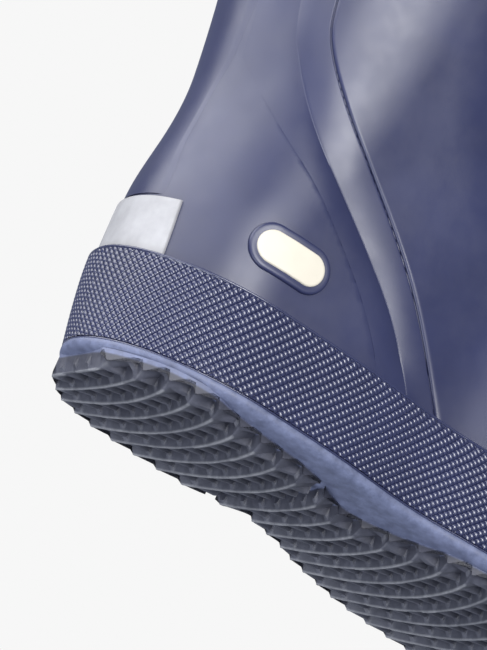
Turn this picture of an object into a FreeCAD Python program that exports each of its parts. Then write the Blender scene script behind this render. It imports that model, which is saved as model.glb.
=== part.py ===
"""Deck boot for the right foot: a hand-built rubber boot of ankle-to-calf height.

Lengths are in millimetres. While the pieces are built, X runs forward from the back of the heel,
Y runs toward the inner side of the foot and Z runs up from the tips of the tread. Each finished
piece is then placed so that the origin is under the middle of the boot.

Every rubber and textile layer is the space between two copies of one foot-and-leg form, each
copy offset along its own surface. The loose overlays are the same layers cut out in side view.
"""

import FreeCAD, Part

import math
import os

os.makedirs("parts", exist_ok=True)

doc = FreeCAD.newDocument("deck_boot")
sheet = doc.addObject("Spreadsheet::Sheet", "sizes")

DIMENSIONS = (
    ("form_length", 297, "back of the heel to the tip of the toe, without the foxing"),
    ("heel_half_width", 34, "half width of the form across the heel"),
    ("waist_half_width", 31.3, "half width of the form at the waist of the sole"),
    ("ball_half_width", 49, "half width of the form across the ball of the foot"),
    ("toe_swing", 9, "how far the toe lies to the inner side of the heel's centre line"),
    ("ankle_half_width", 36, "half width of the leg at the ankle"),
    ("leg_top_half_width", 56, "half width of the leg at the top"),
    ("top_at_back", 266, "height of the top edge at the back"),
    ("top_at_front", 278, "height of the top edge at the front"),
    ("rubber_layer", 2.2, "thickness of the base rubber of the upper"),
    ("lining_layer", 1.4, "thickness of the textile lining"),
    ("stiffener_layer", 0.9, "thickness of the heel counter and toe puff inside the lining layer"),
    ("front_panel_layer", 1.0, "thickness of the front panel over the base rubber"),
    ("strip_layer", 1.5, "thickness of the two side strips"),
    ("backstay_layer", 0.6, "thickness of the strip up the back"),
    ("tab_layer", 1.2, "thickness of the reflective heel tab"),
    ("plaque_layer", 1.2, "thickness of the badge plaque"),
    ("inlay_layer", 1.7, "height of the badge inlay above the base rubber"),
    ("binding_layer", 1.6, "thickness of the binding outside the leg"),
    ("binding_height", 14, "height of the binding"),
    ("foxing_layer", 3.0, "thickness of the foxing band round the foot"),
    ("foxing_bottom", 9, "height of the foxing's lower edge"),
    ("foxing_top_heel", 38.8, "height of the foxing's upper edge at the back of the heel"),
    ("foxing_top_side", 37.4, "height of the foxing's upper edge along the side"),
    ("foxing_top_toe", 33, "height of the foxing's upper edge at the toe"),
    ("toe_guard_layer", 2.2, "thickness of the toe guard"),
    ("tab_bottom", 36, "height at which the heel tab starts, behind the foxing's top"),
    ("tab_top", 56, "height of the upper edge of the heel tab"),
    ("badge_forward", 37.3, "distance of the badge forward of the heel"),
    ("badge_height", 53.3, "height of the badge's centre"),
    ("badge_length", 28, "length of the plaque"),
    ("badge_width", 15, "width of the plaque"),
    ("badge_rim", 2.3, "width of the plaque's rim round the inlay"),
    ("plate_bottom", 5.2, "height of the underside of the outsole's plate"),
    ("margin_step", 1.0, "how far the outsole's plate is set in from the foxing"),
    ("tread_inset", 4.0, "how far the tread is set in from the foxing"),
    ("tooth_pitch", 9, "distance from one row of teeth to the next"),
    ("tooth_flat", 1.4, "length of the flat tip of a tooth"),
    ("tooth_rear_run", 1.4, "how far forward the steep rear face of a tooth runs"),
    ("tooth_depth", 4.2, "depth of the tread"),
    ("heel_tread_start", 3, "back of the first row of teeth"),
    ("heel_tread_rows", 9, "rows of teeth on the heel"),
    ("slit_width", 2.5, "width of the slit between the heel tread and the forepart tread"),
    ("forepart_tread_rows", 22, "rows of teeth on the forepart"),
    ("filler_heel_top", 17, "height of the midsole filler's top under the heel"),
    ("filler_ball_top", 12, "height of the midsole filler's top under the ball"),
    ("insole_thickness", 2, "thickness of the insole board"),
    ("footbed_thickness", 4.5, "thickness of the loose footbed"),
    ("stack_gap", 0.3, "gap between the filler, the board and the footbed"),
    ("board_clearance", 0.2, "gap between the insole board and the lining"),
    ("footbed_clearance", 0.8, "gap between the footbed and the lining"),
    ("binding_inside", 1.0, "thickness of the binding inside the lining"),
    ("stiffener_bottom", 11, "height of the lower edge of the counter and the toe puff"),
    ("origin_forward", 142.6, "distance of the boot's origin forward of the heel"),
    ("origin_inward", 2.2, "distance of the boot's origin to the inner side"),
    ("tool_width", 180, "width of the solids that trim the layers"),
)

for row, (alias, value, meaning) in enumerate(DIMENSIONS, start=1):
    sheet.set("A%d" % row, alias)
    sheet.set("B%d" % row, str(value))
    sheet.set("C%d" % row, meaning)
    sheet.setAlias("B%d" % row, alias)
doc.recompute()


def size(alias):
    """The number in the sheet's cell of that name."""
    return float(sheet.get(alias))


# ---------------------------------------------------------------- the foot-and-leg form


def smooth_through(points, x):
    """A smooth curve through (x, y) points, which doesn't overshoot between them."""
    if x <= points[0][0]:
        return points[0][1]
    if x >= points[-1][0]:
        return points[-1][1]
    slopes = []
    for (x0, y0), (x1, y1) in zip(points, points[1:]):
        slopes.append((y1 - y0) / (x1 - x0))
    tangents = [slopes[0]]
    for before, after in zip(slopes, slopes[1:]):
        opposed = before * after <= 0
        tangents.append(0.0 if opposed else 2 * before * after / (before + after))
    tangents.append(slopes[-1])
    i = max(k for k in range(len(points) - 1) if points[k][0] <= x)
    (x0, y0), (x1, y1) = points[i], points[i + 1]
    span = x1 - x0
    s = (x - x0) / span
    return (
        (1 + 2 * s) * (1 - s) ** 2 * y0
        + s * (1 - s) ** 2 * span * tangents[i]
        + s * s * (3 - 2 * s) * y1
        + s * s * (s - 1) * span * tangents[i + 1]
    )


def ease(x, start, end):
    """0 before start, 1 after end and a smooth step between."""
    s = min(max((x - start) / (end - start), 0.0), 1.0)
    return s * s * (3 - 2 * s)


LENGTH = size("form_length")
HEEL = size("heel_half_width")
WAIST = size("waist_half_width")
BALL = size("ball_half_width")
ANKLE = size("ankle_half_width")
LEG_TOP = size("leg_top_half_width")

# (height, distance forward): the line up the back of the heel and leg
BACK_LINE = (
    (-6, 6.0), (9, 3.4), (24, 1.0), (38, -0.4), (58, -0.6), (74, 1.2), (88, 3.2), (98, 3.7),
    (112, 2.4), (140, -1.5), (180, -6.5), (230, -11.0), (292, -14.5),
)
# (height, distance back from the toe): the toe, the vamp, the throat and the front of the leg
FRONT_LINE = (
    (-6, 6.0), (9, 2.0), (22, 0.0), (31, 1.2), (38, 6.5), (44, 18.0), (50, 36.0), (57, 56.0),
    (66, 79.0), (77, 103.0), (90, 128.0), (105, 153.0), (120, 171.0), (138, 181.0),
    (160, 184.5), (195, 183.0), (240, 178.0), (292, 173.0),
)
# (distance forward, half width): the plan of the foot before its ends are rounded
PLAN_WIDTH = (
    (0, HEEL), (72, HEEL), (92, WAIST + 0.7), (104, WAIST), (135, WAIST + 6.7),
    (165, WAIST + 12.7), (200, BALL - 1.5), (228, BALL), (262, BALL - 3.0), (LENGTH, BALL - 8),
)
# (height, half width): the leg
LEG_WIDTH = (
    (40, ANKLE - 1.0), (70, ANKLE - 1.4), (100, ANKLE), (130, ANKLE + 3.2),
    (180, ANKLE + 10.0), (230, LEG_TOP - 4.5), (292, LEG_TOP + 0.5),
)
# (height, length): how much of each level the rounded back and front ends take
BACK_ROUND = ((9, 45), (36, 40), (60, 39), (100, 46), (150, 57), (292, 68))
FRONT_ROUND = ((9, 61), (34, 63), (50, 72), (66, 84), (88, 80), (110, 66), (150, 57), (292, 68))

FORM_LEVELS = (
    -6, 2, 9, 16, 24, 31, 36, 40, 44, 48, 53, 59, 66, 74, 84, 96, 108, 120, 132, 146, 165, 190,
    220, 255, 292,
)
POINTS_ROUND = 28


def centre_line(x):
    """The sideways place of the foot's centre line, which swings inward toward the toe."""
    return size("toe_swing") * ease(x, 80, 190)


def half_width(x, z):
    """The form's half width at a distance forward and a height."""
    back = smooth_through(BACK_LINE, z)
    front = LENGTH - smooth_through(FRONT_LINE, z)
    plan = smooth_through(PLAN_WIDTH, x)
    leg = smooth_through(LEG_WIDTH, z)
    full = plan + (leg - plan) * ease(z, 34, 112)
    full -= 1.6 * (1 - ease(z, 0, 34))
    back_share = min((x - back) / smooth_through(BACK_ROUND, z), 1.0)
    front_share = min((front - x) / smooth_through(FRONT_ROUND, z), 1.0)
    back_part = math.sqrt(max(1 - (1 - max(back_share, 0.0)) ** 2, 0.0))
    front_part = math.sqrt(max(1 - (1 - max(front_share, 0.0)) ** 2, 0.0))
    return full * back_part * front_part


def form_point(turn, z):
    """A point on the form: turn is 0 at the back, positive round the outer side."""
    back = smooth_through(BACK_LINE, z)
    front = LENGTH - smooth_through(FRONT_LINE, z)
    x = back + (front - back) * (1 - math.cos(turn)) / 2
    side = -1.0 if math.sin(turn) >= 0 else 1.0
    return FreeCAD.Vector(x, centre_line(x) + side * half_width(x, z), z)


def offset_point(turn, z, offset, level_only):
    """A point of the form moved outward by offset, square to the surface."""
    step = 0.02
    along = form_point(turn + step, z) - form_point(turn - step, z)
    up = form_point(turn, z + 1) - form_point(turn, z - 1)
    outward = along.cross(up)
    if level_only:
        outward.z = 0
    outward.normalize()
    return form_point(turn, z) + outward * offset


def form_solid(offset):
    """The closed solid of the form at that offset."""
    sections = []
    # the same parameters at every level keep the surface light
    even_steps = [k / POINTS_ROUND for k in range(POINTS_ROUND + 1)]
    for z in FORM_LEVELS:
        at_end = z in (FORM_LEVELS[0], FORM_LEVELS[-1])
        # the half step keeps every point off the centre plane's ends
        turns = [2 * math.pi * (k + 0.5) / POINTS_ROUND for k in range(POINTS_ROUND)]
        points = [offset_point(turn, z, offset, at_end) for turn in turns]
        curve = Part.BSplineCurve()
        curve.interpolate(Points=points, PeriodicFlag=True, Parameters=even_steps)
        sections.append(Part.Wire([curve.toShape()]))
    return Part.makeLoft(sections, True, False)


FORMS = {}


def form(name, offset):
    """The form at that offset as an object of the document, made once."""
    if name not in FORMS:
        FORMS[name] = doc.addObject("Part::Feature", "form_" + name)
        FORMS[name].Shape = form_solid(offset)
    return FORMS[name]


# ---------------------------------------------------------------- helpers for the pieces


def origin_plane(body, role):
    return next(f for f in body.Origin.OriginFeatures if f.Role == role)


def profile_pad(name, edges, both_sides=True, inner_side=False):
    """A body padded sideways from a closed outline of edges drawn in side view."""
    body = doc.addObject("PartDesign::Body", name)
    sketch = body.newObject("Sketcher::SketchObject", name + "_outline")
    sketch.AttachmentSupport = [(origin_plane(body, "XZ_Plane"), "")]
    sketch.MapMode = "FlatFace"
    for edge in edges:
        sketch.addGeometry(edge, False)
    doc.recompute()
    pad = body.newObject("PartDesign::Pad", name + "_pad")
    pad.Profile = sketch
    pad.setExpression("Length", "sizes.tool_width")
    pad.Midplane = both_sides
    pad.Reversed = inner_side
    return body


def flat_point(x, z):
    """A point of a side-view sketch, whose second direction is up."""
    return FreeCAD.Vector(x, z, 0)


def polygon(points):
    """The closed run of line segments through (x, z) points."""
    corners = [flat_point(x, z) for x, z in points]
    return [Part.LineSegment(a, b) for a, b in zip(corners, corners[1:] + corners[:1])]


def curve_through(points):
    """A smooth open curve through (x, z) points."""
    curve = Part.BSplineCurve()
    curve.interpolate([flat_point(x, z) for x, z in points])
    return curve


def boolean(kind, name, base, tool):
    made = doc.addObject("Part::" + kind, name)
    made.Base = base
    made.Tool = tool
    made.Refine = False
    return made


def cut(name, base, tool):
    return boolean("Cut", name, base, tool)


def common(name, base, tool):
    return boolean("Common", name, base, tool)


def layer(name, outer, inner, region):
    """The space between two forms, inside a region."""
    kept_outer = common(name + "_outer", outer, region)
    kept_inner = common(name + "_inner", inner, region)
    return cut(name, kept_outer, kept_inner)


PIECES = []


def finish_piece(node, source):
    """Names a finished piece and places the boot's origin under its middle."""
    source.Label = node
    source.setExpression("Placement.Base.x", "-sizes.origin_forward")
    source.setExpression("Placement.Base.y", "-sizes.origin_inward")
    PIECES.append(source)


# ---------------------------------------------------------------- forms

RUBBER = size("rubber_layer")
INNER = RUBBER + size("lining_layer")
STIFFENED = RUBBER + size("stiffener_layer")

skin = form("skin", 0.0)
rubber_inside = form("rubber_inside", -RUBBER)
stiffener_inside = form("stiffener_inside", -STIFFENED)
lining_inside = form("lining_inside", -INNER)
panel_outside = form("panel_outside", size("front_panel_layer"))
strip_outside = form("strip_outside", size("strip_layer"))
backstay_outside = form("backstay_outside", size("backstay_layer"))
badge_outside = form("badge_outside", size("plaque_layer"))
inlay_outside = form("inlay_outside", size("inlay_layer"))
foxing_outside = form("foxing_outside", size("foxing_layer"))
guard_outside = form("guard_outside", size("toe_guard_layer"))

# ---------------------------------------------------------------- regions in side view

FAR_BACK, FAR_FRONT = -60, 340
BOTTOM = size("foxing_bottom")
TOP_BACK = size("top_at_back")
TOP_FRONT = size("top_at_front")
LEG_DEPTH = 138


def top_edge(x, below=0.0):
    """Height of the sloping top edge, or of a line parallel to it."""
    return TOP_BACK + (TOP_FRONT - TOP_BACK) * (x + 14) / LEG_DEPTH - below


def band_under_top(upper, lower):
    return polygon(
        [
            (FAR_BACK, top_edge(FAR_BACK, upper)),
            (FAR_FRONT, top_edge(FAR_FRONT, upper)),
            (FAR_FRONT, top_edge(FAR_FRONT, lower)),
            (FAR_BACK, top_edge(FAR_BACK, lower)),
        ]
    )


EDGE_COVER = 1.5
FULL_HEIGHT = polygon(
    [
        (FAR_BACK, BOTTOM),
        (FAR_FRONT, BOTTOM),
        (FAR_FRONT, top_edge(FAR_FRONT, EDGE_COVER)),
        (FAR_BACK, top_edge(FAR_BACK, EDGE_COVER)),
    ]
)

# ---------------------------------------------------------------- sole


def sole_prism(name, inset, bottom, top):
    """A straight-sided solid whose outline is the foxing's at its lower edge, drawn in by inset."""
    edge_form = form(name + "_edge", size("foxing_layer") - size(inset))
    outline = doc.addObject("Part::Feature", name + "_outline")
    outline.Shape = Part.Face(edge_form.Shape.slice(FreeCAD.Vector(0, 0, 1), BOTTOM)[0])
    outline.Placement.Base.z = bottom - BOTTOM
    solid = doc.addObject("Part::Extrusion", name)
    solid.Base = outline
    solid.DirMode = "Custom"
    solid.Dir = FreeCAD.Vector(0, 0, 1)
    solid.Solid = True
    solid.setExpression("LengthFwd", top)
    return solid


TREAD_OVERLAP = 0.6


def tooth_rows(start, rows):
    """Side view of the tread's rows: a steep rear face, a flat tip and a long rise forward."""
    pitch = size("tooth_pitch")
    run = size("tooth_rear_run")
    tip = size("tooth_flat")
    roof = size("plate_bottom") + TREAD_OVERLAP
    deep = size("tooth_depth")
    points = [(start, roof)]
    for row in range(rows):
        x = start + row * pitch
        points += [(x, deep), (x + run, 0), (x + run + tip, 0)]
    points += [(start + rows * pitch, deep), (start + rows * pitch, roof)]
    return polygon(points)


def build_outsole():
    heel_start = size("heel_tread_start")
    heel_rows = int(size("heel_tread_rows"))
    fore_start = heel_start + heel_rows * size("tooth_pitch") + size("slit_width")
    heel_teeth = profile_pad("heel_teeth", tooth_rows(heel_start, heel_rows))
    fore_teeth = profile_pad(
        "forepart_teeth", tooth_rows(fore_start, int(size("forepart_tread_rows")))
    )
    tread_limit = sole_prism("tread_limit", "tread_inset", 0.0, "sizes.foxing_bottom")
    plate_bottom = size("plate_bottom")
    plate_depth = "sizes.foxing_bottom - sizes.plate_bottom"
    plate = sole_prism("outsole_plate", "margin_step", plate_bottom, plate_depth)
    teeth = doc.addObject("Part::MultiFuse", "all_teeth")
    teeth.Shapes = [heel_teeth, fore_teeth]
    outsole = doc.addObject("Part::MultiFuse", "outsole_solid")
    outsole.Shapes = [plate, common("tread", teeth, tread_limit)]
    outsole.Refine = False
    finish_piece("outsole", outsole)


def build_inner_sole():
    """Filler, insole board and footbed: a stack inside the lining."""
    heel_top = size("filler_heel_top")
    ball_top = size("filler_ball_top")
    board = size("insole_thickness")
    bed = size("footbed_thickness")
    gap = size("stack_gap")
    slope_back, slope_front = 60, 160

    def level(lift):
        return [
            (FAR_BACK, heel_top + lift),
            (slope_back, heel_top + lift),
            (slope_front, ball_top + lift),
        ]

    def slab(name, low, high):
        over = level(high)
        under = level(low) if low is not None else [(FAR_BACK, BOTTOM)]
        low_end = under[-1][1]
        outline = over + [(FAR_FRONT, ball_top + high), (FAR_FRONT, low_end)] + under[::-1]
        return profile_pad(name + "_slab", polygon(outline))

    close = form("insole_edge", -INNER - size("board_clearance"))
    loose = form("footbed_edge", -INNER - size("footbed_clearance"))
    filler = common("midsole_solid", close, slab("midsole", None, -gap))
    finish_piece("midsole_filler", filler)
    finish_piece("insole_board", common("insole_solid", close, slab("insole", 0, board)))
    bed_slab = slab("footbed", board + gap, board + gap + bed)
    finish_piece("footbed", common("footbed_solid", loose, bed_slab))


def build_foxing():
    """The thick knurled band, from the outsole's seam up to its own wavy top edge."""
    heel_top = size("foxing_top_heel")
    side_top = size("foxing_top_side")
    toe_top = size("foxing_top_toe")
    top_line = [
        (FAR_BACK, heel_top + 2), (-4, heel_top), (12, side_top + 0.1), (35, side_top),
        (100, side_top), (150, side_top - 1.5), (215, toe_top), (270, toe_top),
        (FAR_FRONT, toe_top),
    ]
    outline = [
        curve_through(top_line),
        Part.LineSegment(flat_point(*top_line[-1]), flat_point(FAR_FRONT, BOTTOM)),
        Part.LineSegment(flat_point(FAR_FRONT, BOTTOM), flat_point(FAR_BACK, BOTTOM)),
        Part.LineSegment(flat_point(FAR_BACK, BOTTOM), flat_point(*top_line[0])),
    ]
    region = profile_pad("foxing_region", outline)
    finish_piece("foxing_band", layer("foxing_solid", foxing_outside, skin, region))
    return region


# ---------------------------------------------------------------- upper


def build_base_layers():
    """The rubber upper, its stiffeners and the lining."""
    whole = profile_pad("whole_region", FULL_HEIGHT)
    finish_piece("upper_shell", layer("shell_solid", skin, rubber_inside, whole))

    low = size("stiffener_bottom")
    counter_line = [(FAR_BACK, 84), (20, 80), (52, 62), (78, low)]
    counter_head, counter_toe = counter_line[0], counter_line[-1]
    counter_region = profile_pad(
        "counter_region",
        [
            curve_through(counter_line),
            Part.LineSegment(flat_point(*counter_toe), flat_point(FAR_BACK, low)),
            Part.LineSegment(flat_point(FAR_BACK, low), flat_point(*counter_head)),
        ],
    )
    puff_outline = polygon([(252, low), (FAR_FRONT, low), (FAR_FRONT, 70), (236, 70)])
    puff_region = profile_pad("puff_region", puff_outline)
    unstiffened = cut("all_but_counter", whole, counter_region)
    unstiffened = cut("unstiffened_region", unstiffened, puff_region)
    middle = (rubber_inside, stiffener_inside)
    finish_piece("heel_counter", layer("counter_solid", *middle, counter_region))
    finish_piece("toe_puff", layer("puff_solid", *middle, puff_region))
    finish_piece("canvas_backing", layer("canvas_solid", *middle, unstiffened))
    finish_piece("lining", layer("lining_solid", stiffener_inside, lining_inside, whole))


# The two edges of the side strip, from the foxing up the rear of the leg, as (x, z)
STRIP_REAR = (
    (99, 24), (92, 38), (81, 51.2), (69.4, 61.4), (57, 70.7), (46, 78.5), (36, 85.6), (27, 95),
    (21, 103.5), (16.5, 111.5), (12.5, 120.5), (8.5, 140), (4, 180), (0, 230), (-2, 296),
)
STRIP_FRONT = (
    (113, 24), (103.5, 38), (90.5, 53.2), (74.6, 69.2), (60.7, 81), (48, 90.6), (41, 96),
    (36, 100.6), (29.3, 108), (24.5, 114.4), (20, 123.3), (17, 142), (13, 182), (10, 230), (9, 296),
)
GROOVE = 0.5


def build_overlays(foxing_region):
    """Front panel, side strips, back stay and heel tab, each clear of the foxing."""
    top = STRIP_FRONT[-1][1]
    low = STRIP_FRONT[0][1]
    front_edge = [(x + GROOVE, z) for x, z in STRIP_FRONT]
    panel_region = profile_pad(
        "panel_region",
        [
            curve_through(front_edge),
            Part.LineSegment(flat_point(*front_edge[-1]), flat_point(FAR_FRONT, top)),
            Part.LineSegment(flat_point(FAR_FRONT, top), flat_point(FAR_FRONT, low)),
            Part.LineSegment(flat_point(FAR_FRONT, low), flat_point(*front_edge[0])),
        ],
    )
    under_binding = profile_pad(
        "under_binding",
        polygon(
            [
                (FAR_BACK, BOTTOM),
                (FAR_FRONT, BOTTOM),
                (FAR_FRONT, top_edge(FAR_FRONT, size("binding_height"))),
                (FAR_BACK, top_edge(FAR_BACK, size("binding_height"))),
            ]
        ),
    )
    open_height = cut("between_foxing_and_binding", under_binding, foxing_region)
    panel_area = common("panel_area", panel_region, open_height)
    finish_piece("front_panel", layer("panel_solid", panel_outside, skin, panel_area))

    def strip_outline():
        return [
            curve_through(STRIP_REAR),
            Part.LineSegment(flat_point(*STRIP_REAR[-1]), flat_point(*STRIP_FRONT[-1])),
            curve_through(STRIP_FRONT[::-1]),
            Part.LineSegment(flat_point(*STRIP_FRONT[0]), flat_point(*STRIP_REAR[0])),
        ]

    for side, inner in (("outer", False), ("inner", True)):
        region = profile_pad(
            side + "_strip_region", strip_outline(), both_sides=False, inner_side=inner
        )
        area = common(side + "_strip_area", region, open_height)
        strip = layer(side + "_strip_solid", strip_outside, skin, area)
        finish_piece(side + "_side_strip", strip)

    stay_line = [
        (1.8, 57), (2.6, 74), (4, 86), (4.7, 95), (5, 104), (4.3, 114), (2.8, 130), (-1.5, 172),
        (-6, 230), (-9, 296),
    ]
    stay_foot, stay_head = stay_line[0], stay_line[-1]
    stay_region = profile_pad(
        "stay_region",
        [
            curve_through(stay_line),
            Part.LineSegment(flat_point(*stay_head), flat_point(FAR_BACK, stay_head[1])),
            Part.LineSegment(flat_point(FAR_BACK, stay_head[1]), flat_point(FAR_BACK, stay_foot[1])),
            Part.LineSegment(flat_point(FAR_BACK, stay_foot[1]), flat_point(*stay_foot)),
        ],
    )
    stay_area = common("stay_area", stay_region, under_binding)
    finish_piece("back_stay", layer("stay_solid", backstay_outside, skin, stay_area))

    tab_foot, tab_head = 6.6, 5.4
    tab_region = profile_pad(
        "tab_region",
        polygon(
            [
                (FAR_BACK, size("tab_bottom")),
                (tab_foot, size("tab_bottom")),
                (tab_head, size("tab_top")),
                (FAR_BACK, size("tab_top")),
            ]
        ),
    )
    tab_area = cut("tab_area", tab_region, foxing_region)
    finish_piece("heel_tab", layer("tab_solid", badge_outside, skin, tab_area))


def build_toe_guard(foxing_region):
    guard_line = [(214, 30), (236, 38.5), (262, 43.5), (284, 45.5), (FAR_FRONT, 46)]
    region = profile_pad(
        "guard_region",
        [
            curve_through(guard_line),
            Part.LineSegment(flat_point(*guard_line[-1]), flat_point(FAR_FRONT, guard_line[0][1])),
            Part.LineSegment(flat_point(FAR_FRONT, guard_line[0][1]), flat_point(*guard_line[0])),
        ],
    )
    area = cut("guard_area", region, foxing_region)
    finish_piece("toe_guard", layer("guard_solid", guard_outside, panel_outside, area))


def build_binding():
    """The rolled rubber edge: outside, over the top and a little way down inside."""
    band = profile_pad("binding_region", band_under_top(0.0, size("binding_height")))
    below_binding = size("binding_height") + 5
    covered = profile_pad("covered_region", band_under_top(EDGE_COVER, below_binding))
    binding_outside = form("binding_outside", size("binding_layer"))
    binding_inside = form("binding_inside", -INNER - size("binding_inside"))
    shell_and_lining = layer("covered_layers", skin, lining_inside, covered)
    ring = layer("binding_full", binding_outside, binding_inside, band)
    finish_piece("top_binding", cut("binding_solid", ring, shell_and_lining))


def badge_outline(shrink):
    """A level oval pill: two straight edges and two round ends."""
    x = size("badge_forward")
    z = size("badge_height")
    radius = size("badge_width") / 2 - shrink
    reach = size("badge_length") / 2 - size("badge_width") / 2
    high, low = z + radius, z - radius
    right_low, right_high = flat_point(x + reach, low), flat_point(x + reach, high)
    left_low, left_high = flat_point(x - reach, low), flat_point(x - reach, high)
    return [
        Part.Arc(right_low, flat_point(x + reach + radius, z), right_high),
        Part.LineSegment(right_high, left_high),
        Part.Arc(left_high, flat_point(x - reach - radius, z), left_low),
        Part.LineSegment(left_low, right_low),
    ]


def build_badge():
    """A plain plaque with a plain inlay on the outer side of the heel."""
    plaque_region = profile_pad("plaque_region", badge_outline(0.0), both_sides=False)
    inlay_region = profile_pad(
        "inlay_region", badge_outline(size("badge_rim")), both_sides=False
    )
    rim_region = cut("rim_region", plaque_region, inlay_region)
    finish_piece("badge_inlay", layer("inlay_solid", inlay_outside, skin, inlay_region))
    finish_piece("badge_plaque", layer("plaque_solid", badge_outside, skin, rim_region))


# ---------------------------------------------------------------- the boot


def check_document():
    for item in doc.Objects:
        if "Invalid" in item.State or "Error" in item.State:
            raise SystemExit("failed object: " + item.Name + " " + str(item.State))
    for piece in PIECES:
        if piece.Shape.isNull() or not piece.Shape.isValid() or piece.Shape.Volume < 1:
            raise SystemExit("bad shape: " + piece.Label)


build_outsole()
build_inner_sole()
foxing_area = build_foxing()
build_base_layers()
build_overlays(foxing_area)
build_toe_guard(foxing_area)
build_binding()
build_badge()
doc.recompute()
check_document()

for piece in PIECES:
    piece.Shape.exportStep(os.path.join("parts", piece.Label + ".step"))
    box = piece.Shape.BoundBox
    print(
        "%-18s %2d solid(s) %9.0f mm3  x %.1f..%.1f  y %.1f..%.1f  z %.1f..%.1f"
        % (
            piece.Label, len(piece.Shape.Solids), piece.Shape.Volume,
            box.XMin, box.XMax, box.YMin, box.YMax, box.ZMin, box.ZMax,
        )
    )
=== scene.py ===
"""The looks of a right-foot rubber deck boot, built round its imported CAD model.

Shapes are worked out in millimetres with X forward from the back of the heel, Y toward the inner
side and Z up from the tread's tips, and are turned into the row frame, in metres, by to_row().
Every layer follows one foot-and-leg form at its own offset along the surface.
"""

import math

import bmesh
import bpy
import numpy as np
from mathutils import Matrix, Vector


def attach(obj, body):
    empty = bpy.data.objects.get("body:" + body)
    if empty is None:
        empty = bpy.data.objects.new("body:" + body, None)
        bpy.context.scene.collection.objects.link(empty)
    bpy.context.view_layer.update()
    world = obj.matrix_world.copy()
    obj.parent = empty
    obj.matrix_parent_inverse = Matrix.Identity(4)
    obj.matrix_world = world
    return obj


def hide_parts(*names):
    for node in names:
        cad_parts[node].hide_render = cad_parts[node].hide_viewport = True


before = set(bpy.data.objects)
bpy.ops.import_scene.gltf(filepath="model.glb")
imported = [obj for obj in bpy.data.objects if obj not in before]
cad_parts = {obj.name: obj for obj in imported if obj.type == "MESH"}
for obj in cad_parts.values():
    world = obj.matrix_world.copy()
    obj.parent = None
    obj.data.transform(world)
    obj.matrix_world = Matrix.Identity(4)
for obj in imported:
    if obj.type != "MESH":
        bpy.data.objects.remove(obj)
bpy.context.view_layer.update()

MM = 0.001
# How far the row frame's origin lies forward of the heel and toward the inner side
HEEL_TO_ORIGIN, AXIS_TO_ORIGIN = 142.6, 2.2

# ------------------------------------------------------------------ sizes, in millimetres

FORM_LENGTH = 297
# Half the form's width at each place, and how far the toe swings inward
HEEL, WAIST, BALL, ANKLE, LEG_TOP = 34, 31.3, 49, 36, 56
TOE_SWING = 9
# How deep below the form the rubber, the stiffeners or canvas, and the lining end
RUBBER, STIFFENED, INNER = 2.2, 3.1, 3.6
# How far each overlay stands above the form
PANEL, STAY, TAB, PLAQUE, INLAY, TOE_GUARD = 1.0, 0.6, 1.2, 1.2, 1.7, 2.2
BINDING, BINDING_INSIDE, BINDING_HEIGHT, EDGE_COVER = 1.6, 4.6, 14, 1.5
FOXING, FOXING_BOTTOM = 3.0, 9
# Heights of the leg's top edge at the back and the front, and the distance between them
TOP_BACK, TOP_FRONT, LEG_DEPTH = 266, 278, 138
PLATE_BOTTOM = 5.2
# About how many millimetres one radian of turn is on the leg
LEG_RADIUS = 60
# A thin gap, or a thin overlap, that keeps two surfaces from sharing one place
GAP = 0.02

# The form's back, and its front measured back from the toe, as (height, distance)
BACK_LINE = (
    (-6, 6.0), (9, 3.4), (24, 1.0), (38, -0.4), (58, -0.6), (74, 1.2), (88, 3.2), (98, 3.7),
    (112, 2.4), (140, -1.5), (180, -6.5), (230, -11.0), (292, -14.5),
)
FRONT_LINE = (
    (-6, 6.0), (9, 2.0), (22, 0.0), (31, 1.2), (38, 6.5), (44, 18.0), (50, 36.0), (57, 56.0),
    (66, 79.0), (77, 103.0), (90, 128.0), (105, 153.0), (120, 171.0), (138, 181.0),
    (160, 184.5), (195, 183.0), (240, 178.0), (292, 173.0),
)
# Half the form's width, by distance forward near the sole and by height up the leg
PLAN_WIDTH = (
    (0, HEEL), (72, HEEL), (92, WAIST + 0.7), (104, WAIST), (135, WAIST + 6.7),
    (165, WAIST + 12.7), (200, BALL - 1.5), (228, BALL), (262, BALL - 3.0),
    (FORM_LENGTH, BALL - 8),
)
LEG_WIDTH = (
    (40, ANKLE - 1.0), (70, ANKLE - 1.4), (100, ANKLE), (130, ANKLE + 3.2),
    (180, ANKLE + 10.0), (230, LEG_TOP - 4.5), (292, LEG_TOP + 0.5),
)
# How far the rounding of the heel and of the toe reaches along the boot, by height
BACK_ROUND = ((9, 45), (36, 40), (60, 39), (100, 46), (150, 57), (292, 68))
FRONT_ROUND = (
    (9, 61), (34, 63), (50, 72), (66, 84), (88, 80), (110, 66), (150, 57), (292, 68),
)
# The side strip's two edges and the other overlays' edges, as (height, distance forward)
STRIP_REAR = (
    (24, 99), (38, 92), (51.2, 81), (61.4, 69.4), (70.7, 57), (78.5, 46), (85.6, 36), (95, 27),
    (103.5, 21), (111.5, 16.5), (120.5, 12.5), (140, 8.5), (180, 4), (230, 0), (296, -2),
)
STRIP_FRONT = (
    (24, 113), (38, 103.5), (53.2, 90.5), (69.2, 74.6), (81, 60.7), (90.6, 48), (96, 41),
    (100.6, 36), (108, 29.3), (114.4, 24.5), (123.3, 20), (142, 17), (182, 13), (230, 10),
    (296, 9),
)
STAY_EDGE = (
    (57, 1.8), (74, 2.6), (86, 4), (95, 4.7), (104, 5), (114, 4.3), (130, 2.8), (172, -1.5),
    (230, -6), (296, -9),
)
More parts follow.
